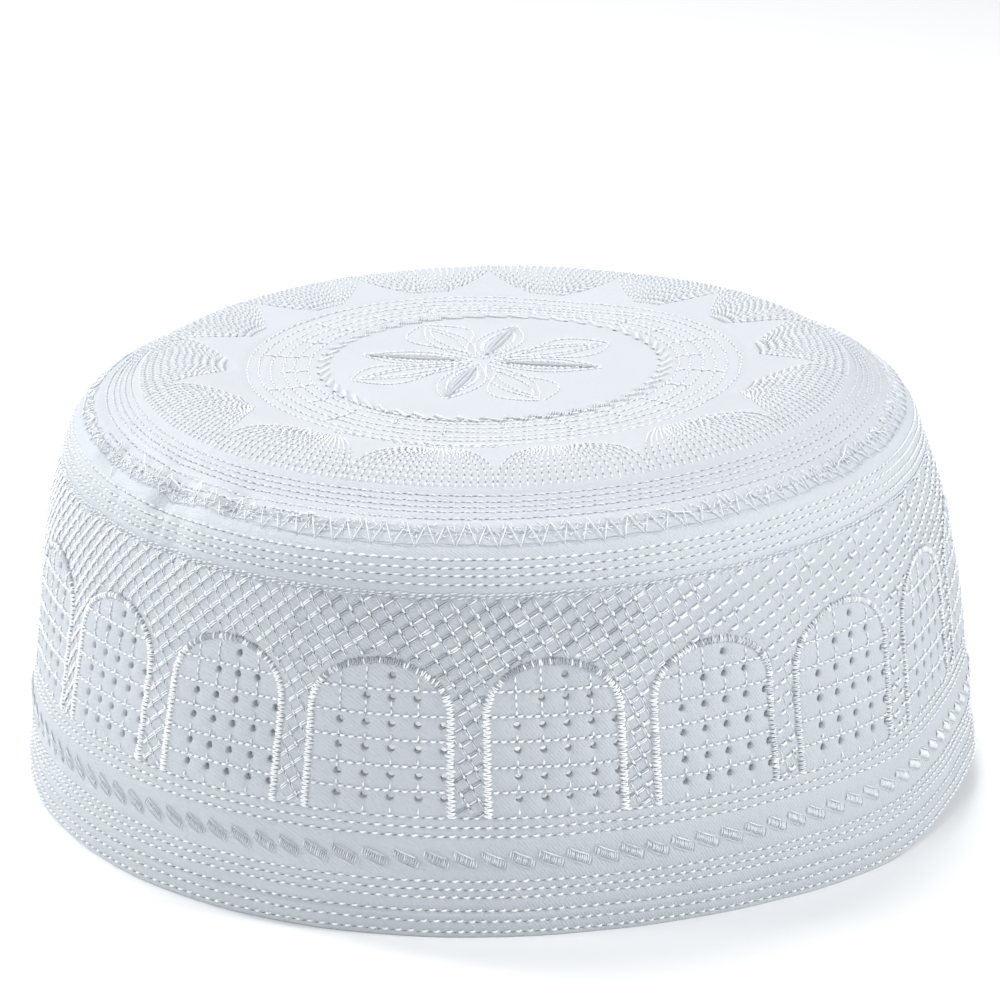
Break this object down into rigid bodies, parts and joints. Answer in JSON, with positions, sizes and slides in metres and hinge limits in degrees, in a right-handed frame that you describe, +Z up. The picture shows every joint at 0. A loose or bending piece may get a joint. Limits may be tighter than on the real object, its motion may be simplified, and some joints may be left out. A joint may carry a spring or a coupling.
{
  "type": "embroidered prayer cap",
  "caption": "Round brimless cloth cap with a flared side band and a domed top panel, embroidered all over in white.",
  "frame": {"origin": "on the rim plane, under the middle of the cap's outline", "axes": "+Z up through the top panel, -Y towards the front of the cap, +X to its right as seen from the front"},
  "size_m": [0.1912, 0.1888, 0.0877],
  "materials": {
    "band_cloth": "fine white cloth, quilted",
    "top_cloth": "fine white cloth, quilted",
    "thread": "glossy white embroidery thread"
  },
  "bodies": {
    "root": {"side_band": "band_cloth", "crown_top": "top_cloth"}
  },
  "joints": []
}
